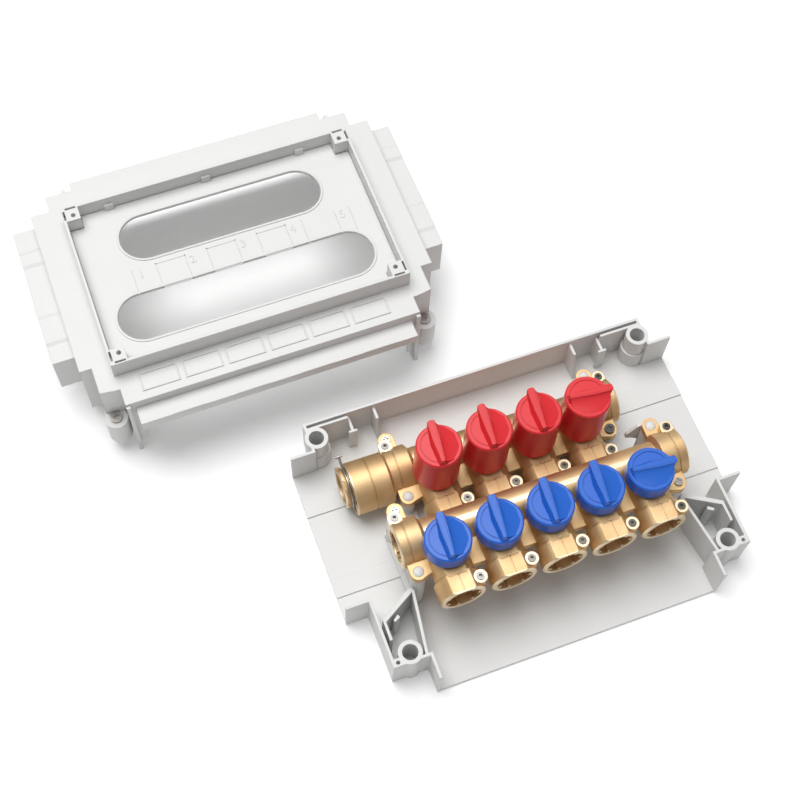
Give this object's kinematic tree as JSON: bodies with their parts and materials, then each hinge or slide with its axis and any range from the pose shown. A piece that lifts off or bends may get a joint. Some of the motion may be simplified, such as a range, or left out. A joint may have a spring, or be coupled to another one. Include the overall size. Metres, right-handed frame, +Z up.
{
  "type": "heating manifold",
  "caption": "Boxed brass heating manifold with two rows of ball valves under red and blue knobs, its grey cover lying beside it.",
  "frame": {"origin": "underside of the base box, in the middle between its ends, under the rows of valves", "axes": "+Z up out of the box, outlets towards -Y, the main pipes' inlets towards -X"},
  "size_m": [0.4138, 0.4161, 0.0803],
  "materials": {
    "grey_plastic": "fine matt moulded plastic",
    "brass": "matt cast brass, machined at the ends",
    "nickel": "nickel plated",
    "ball_chrome": "polished chrome",
    "black_steel": "black oxide",
    "red_plastic": "satin",
    "blue_plastic": "satin",
    "seat_plastic": "plain",
    "seal_rubber": "plain"
  },
  "bodies": {
    "box": {"base_box": "grey_plastic", "left_bracket": "grey_plastic", "right_bracket": "grey_plastic", "hot_manifold": "brass", "cold_manifold": "brass", "inlet_coupling": "brass", "retaining_clip": "nickel", "inlet_o_ring": "seal_rubber", "hot_ball_seats": "seat_plastic", "hot_seat_retainers": "brass", "hot_gland_nuts": "brass", "hot_stem_seals": "seal_rubber", "hot_outlet_grub_screws": "nickel", "hot_end_grub_screws": "nickel", "hot_end_plug": "brass", "cold_ball_seats": "seat_plastic", "cold_seat_retainers": "brass", "cold_gland_nuts": "brass", "cold_stem_seals": "seal_rubber", "cold_outlet_grub_screws": "nickel", "cold_end_grub_screws": "nickel", "cold_end_plug": "brass", "lug_screws": "nickel", "black_lug_screw": "black_steel", "cover_frame": "grey_plastic", "cover_insert": "grey_plastic", "cover_screws": "nickel"},
    "hot_valve_1": {"hot_valve_1_knob": "red_plastic", "hot_valve_1_stem": "brass", "hot_valve_1_ball": "ball_chrome"},
    "hot_valve_2": {"hot_valve_2_knob": "red_plastic", "hot_valve_2_stem": "brass", "hot_valve_2_ball": "ball_chrome"},
    "hot_valve_3": {"hot_valve_3_knob": "red_plastic", "hot_valve_3_stem": "brass", "hot_valve_3_ball": "ball_chrome"},
    "hot_valve_4": {"hot_valve_4_knob": "red_plastic", "hot_valve_4_stem": "brass", "hot_valve_4_ball": "ball_chrome"},
    "cold_valve_1": {"cold_valve_1_knob": "blue_plastic", "cold_valve_1_stem": "brass", "cold_valve_1_ball": "ball_chrome"},
    "cold_valve_2": {"cold_valve_2_knob": "blue_plastic", "cold_valve_2_stem": "brass", "cold_valve_2_ball": "ball_chrome"},
    "cold_valve_3": {"cold_valve_3_knob": "blue_plastic", "cold_valve_3_stem": "brass", "cold_valve_3_ball": "ball_chrome"},
    "cold_valve_4": {"cold_valve_4_knob": "blue_plastic", "cold_valve_4_stem": "brass", "cold_valve_4_ball": "ball_chrome"},
    "cold_valve_5": {"cold_valve_5_knob": "blue_plastic", "cold_valve_5_stem": "brass", "cold_valve_5_ball": "ball_chrome"}
  },
  "joints": [
    {"name": "hot_valve_1_turn", "type": "hinge", "parent": "box", "child": "hot_valve_1", "pos_m": [-0.0525, 0.031, 0.0365], "axis": [0, 0, 1], "range_deg": [-90, 0]},
    {"name": "hot_valve_2_turn", "type": "hinge", "parent": "box", "child": "hot_valve_2", "pos_m": [-0.0175, 0.031, 0.0365], "axis": [0, 0, 1], "range_deg": [-90, 0]},
    {"name": "hot_valve_3_turn", "type": "hinge", "parent": "box", "child": "hot_valve_3", "pos_m": [0.0175, 0.031, 0.0365], "axis": [0, 0, 1], "range_deg": [-90, 0]},
    {"name": "hot_valve_4_turn", "type": "hinge", "parent": "box", "child": "hot_valve_4", "pos_m": [0.0525, 0.031, 0.0365], "axis": [0, 0, 1], "range_deg": [0, 90]},
    {"name": "cold_valve_1_turn", "type": "hinge", "parent": "box", "child": "cold_valve_1", "pos_m": [-0.07, -0.03, 0.0625], "axis": [0, 0, 1], "range_deg": [-90, 0]},
    {"name": "cold_valve_2_turn", "type": "hinge", "parent": "box", "child": "cold_valve_2", "pos_m": [-0.035, -0.03, 0.0625], "axis": [0, 0, 1], "range_deg": [-90, 0]},
    {"name": "cold_valve_3_turn", "type": "hinge", "parent": "box", "child": "cold_valve_3", "pos_m": [0, -0.03, 0.0625], "axis": [0, 0, 1], "range_deg": [-90, 0]},
    {"name": "cold_valve_4_turn", "type": "hinge", "parent": "box", "child": "cold_valve_4", "pos_m": [0.035, -0.03, 0.0625], "axis": [0, 0, 1], "range_deg": [-90, 0]},
    {"name": "cold_valve_5_turn", "type": "hinge", "parent": "box", "child": "cold_valve_5", "pos_m": [0.07, -0.03, 0.0625], "axis": [0, 0, 1], "range_deg": [0, 90]}
  ]
}
